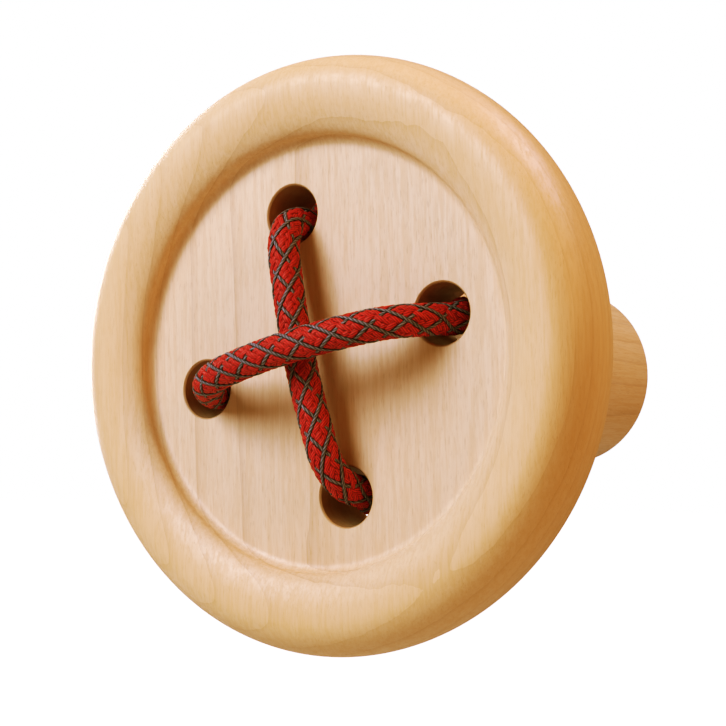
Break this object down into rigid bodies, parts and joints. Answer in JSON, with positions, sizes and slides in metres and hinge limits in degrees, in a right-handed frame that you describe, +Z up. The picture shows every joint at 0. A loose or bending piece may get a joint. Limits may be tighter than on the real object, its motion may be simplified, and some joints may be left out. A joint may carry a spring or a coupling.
{
  "type": "wall hook",
  "caption": "Wooden wall hook shaped like a giant sewing button on a round post, laced with a cross of braided cord, screwed onto a hanger bolt in the wall.",
  "frame": {"origin": "centre of the post's rear face, on the plane of the wall", "axes": "+Y into the wall along the post, so the button faces -Y; +Z up"},
  "size_m": [0.1, 0.1404, 0.1],
  "materials": {
    "maple": "sanded and lightly oiled, satin",
    "beech": "plain, fluted",
    "braided_cord": "braided bright red yarn with dark grey tracer yarns",
    "brass": "machined",
    "zinc_steel": "zinc plated",
    "grey_nylon": "moulded, matt"
  },
  "bodies": {
    "fixing": {"hanger_bolt": "zinc_steel", "wall_plug": "grey_nylon"},
    "hook": {"button_disc": "maple", "post": "maple", "joint_dowel": "beech", "threaded_insert": "brass", "lacing_cord": "braided_cord", "cord_knot": "braided_cord", "cord_tail_upper": "braided_cord", "cord_tail_lower": "braided_cord"}
  },
  "joints": [
    {"name": "hook_turn", "type": "hinge", "parent": "fixing", "child": "hook", "pos_m": [0, 0, 0], "axis": [0, 1, 0], "range_deg": [-360, 0]}
  ]
}
